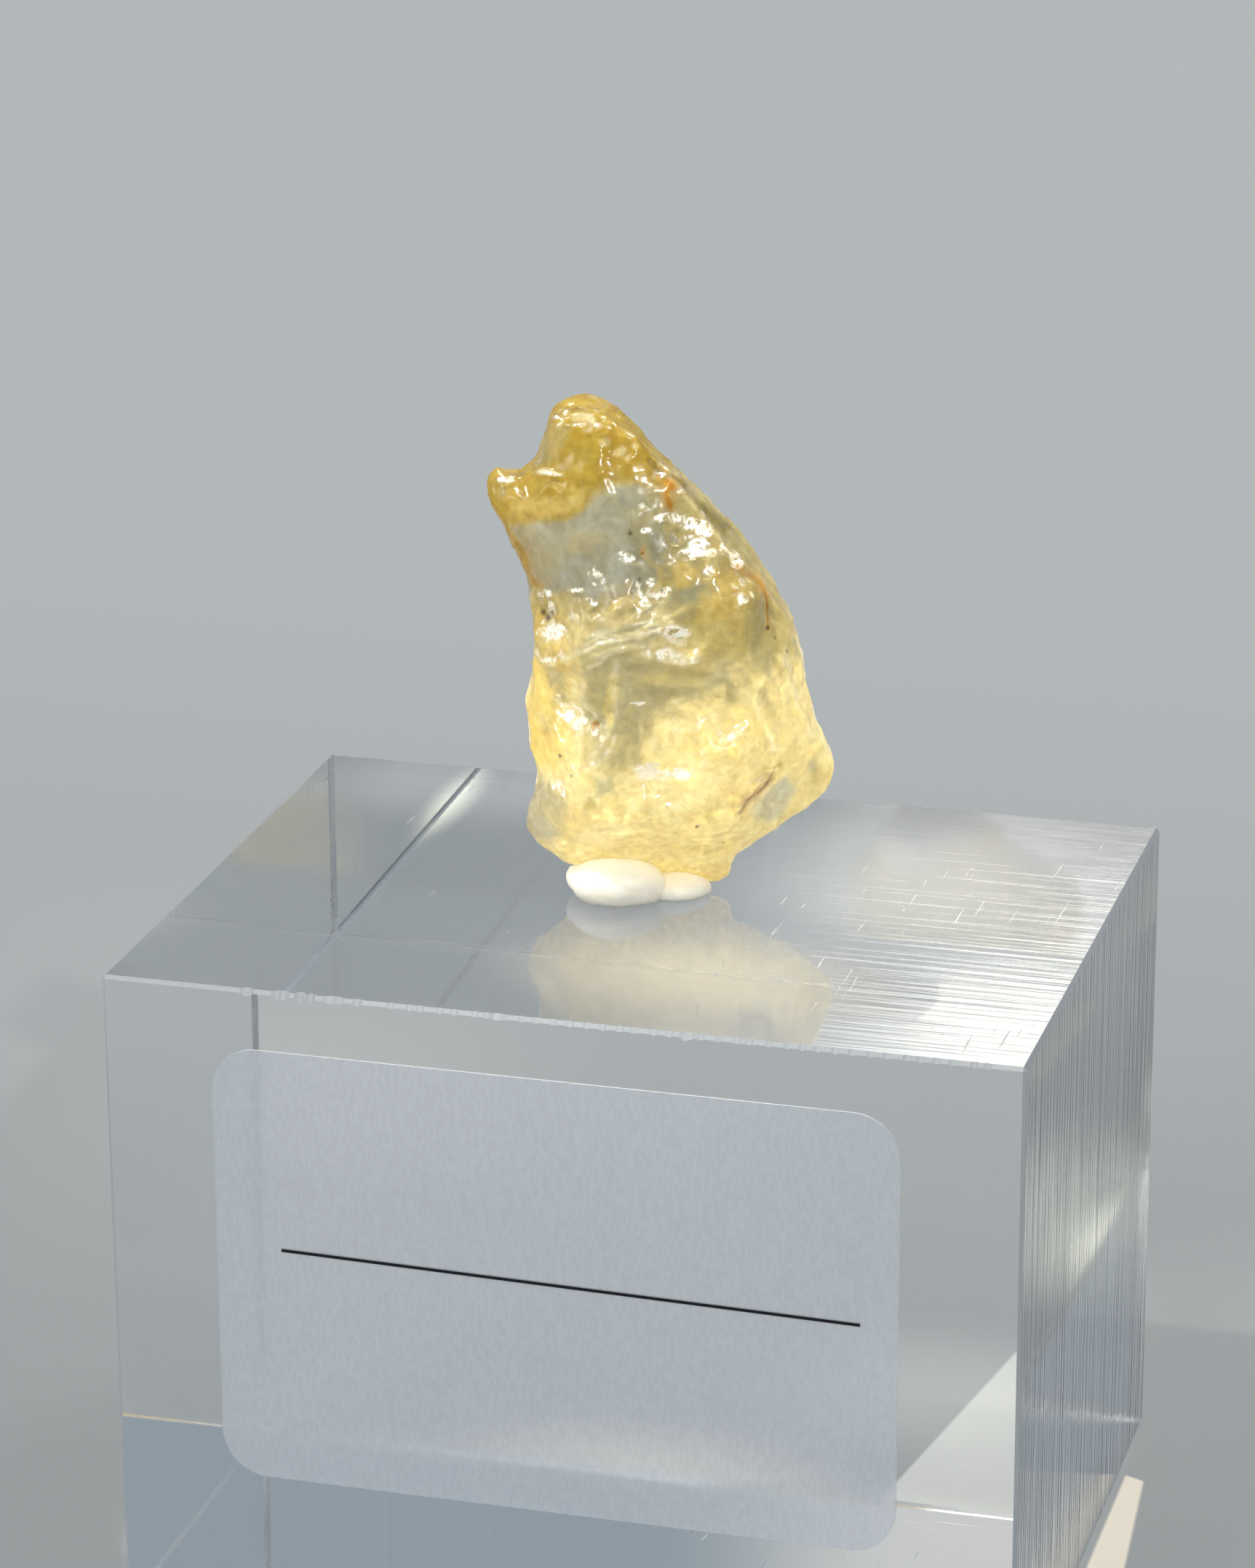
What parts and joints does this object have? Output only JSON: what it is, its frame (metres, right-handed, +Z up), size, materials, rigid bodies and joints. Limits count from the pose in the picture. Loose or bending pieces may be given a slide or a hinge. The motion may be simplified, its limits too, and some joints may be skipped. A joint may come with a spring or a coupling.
{
  "type": "raw desert glass on a display block",
  "caption": "Translucent yellow natural glass stone, held upright by white tack on a clear acrylic block with a blank frosted film label on its front.",
  "frame": {"origin": "the middle of the acrylic block's underside, which stands on the surface", "axes": "+Z up along the stone, +X to the right along the block's labelled front, and that front faces -Y"},
  "size_m": [0.0508, 0.0383, 0.0664],
  "materials": {
    "stone": "natural glass, waxy and part clouded, with frosted chips and iron stains",
    "tack": "white mineral tack, kneaded and soft",
    "acrylic": "clear cast acrylic, polished, with fine milling lines on its sides",
    "film": "frosted clear film with one thin black rule"
  },
  "bodies": {
    "root": {"glass": "stone", "tack": "tack", "block": "acrylic", "label": "film"}
  },
  "joints": []
}
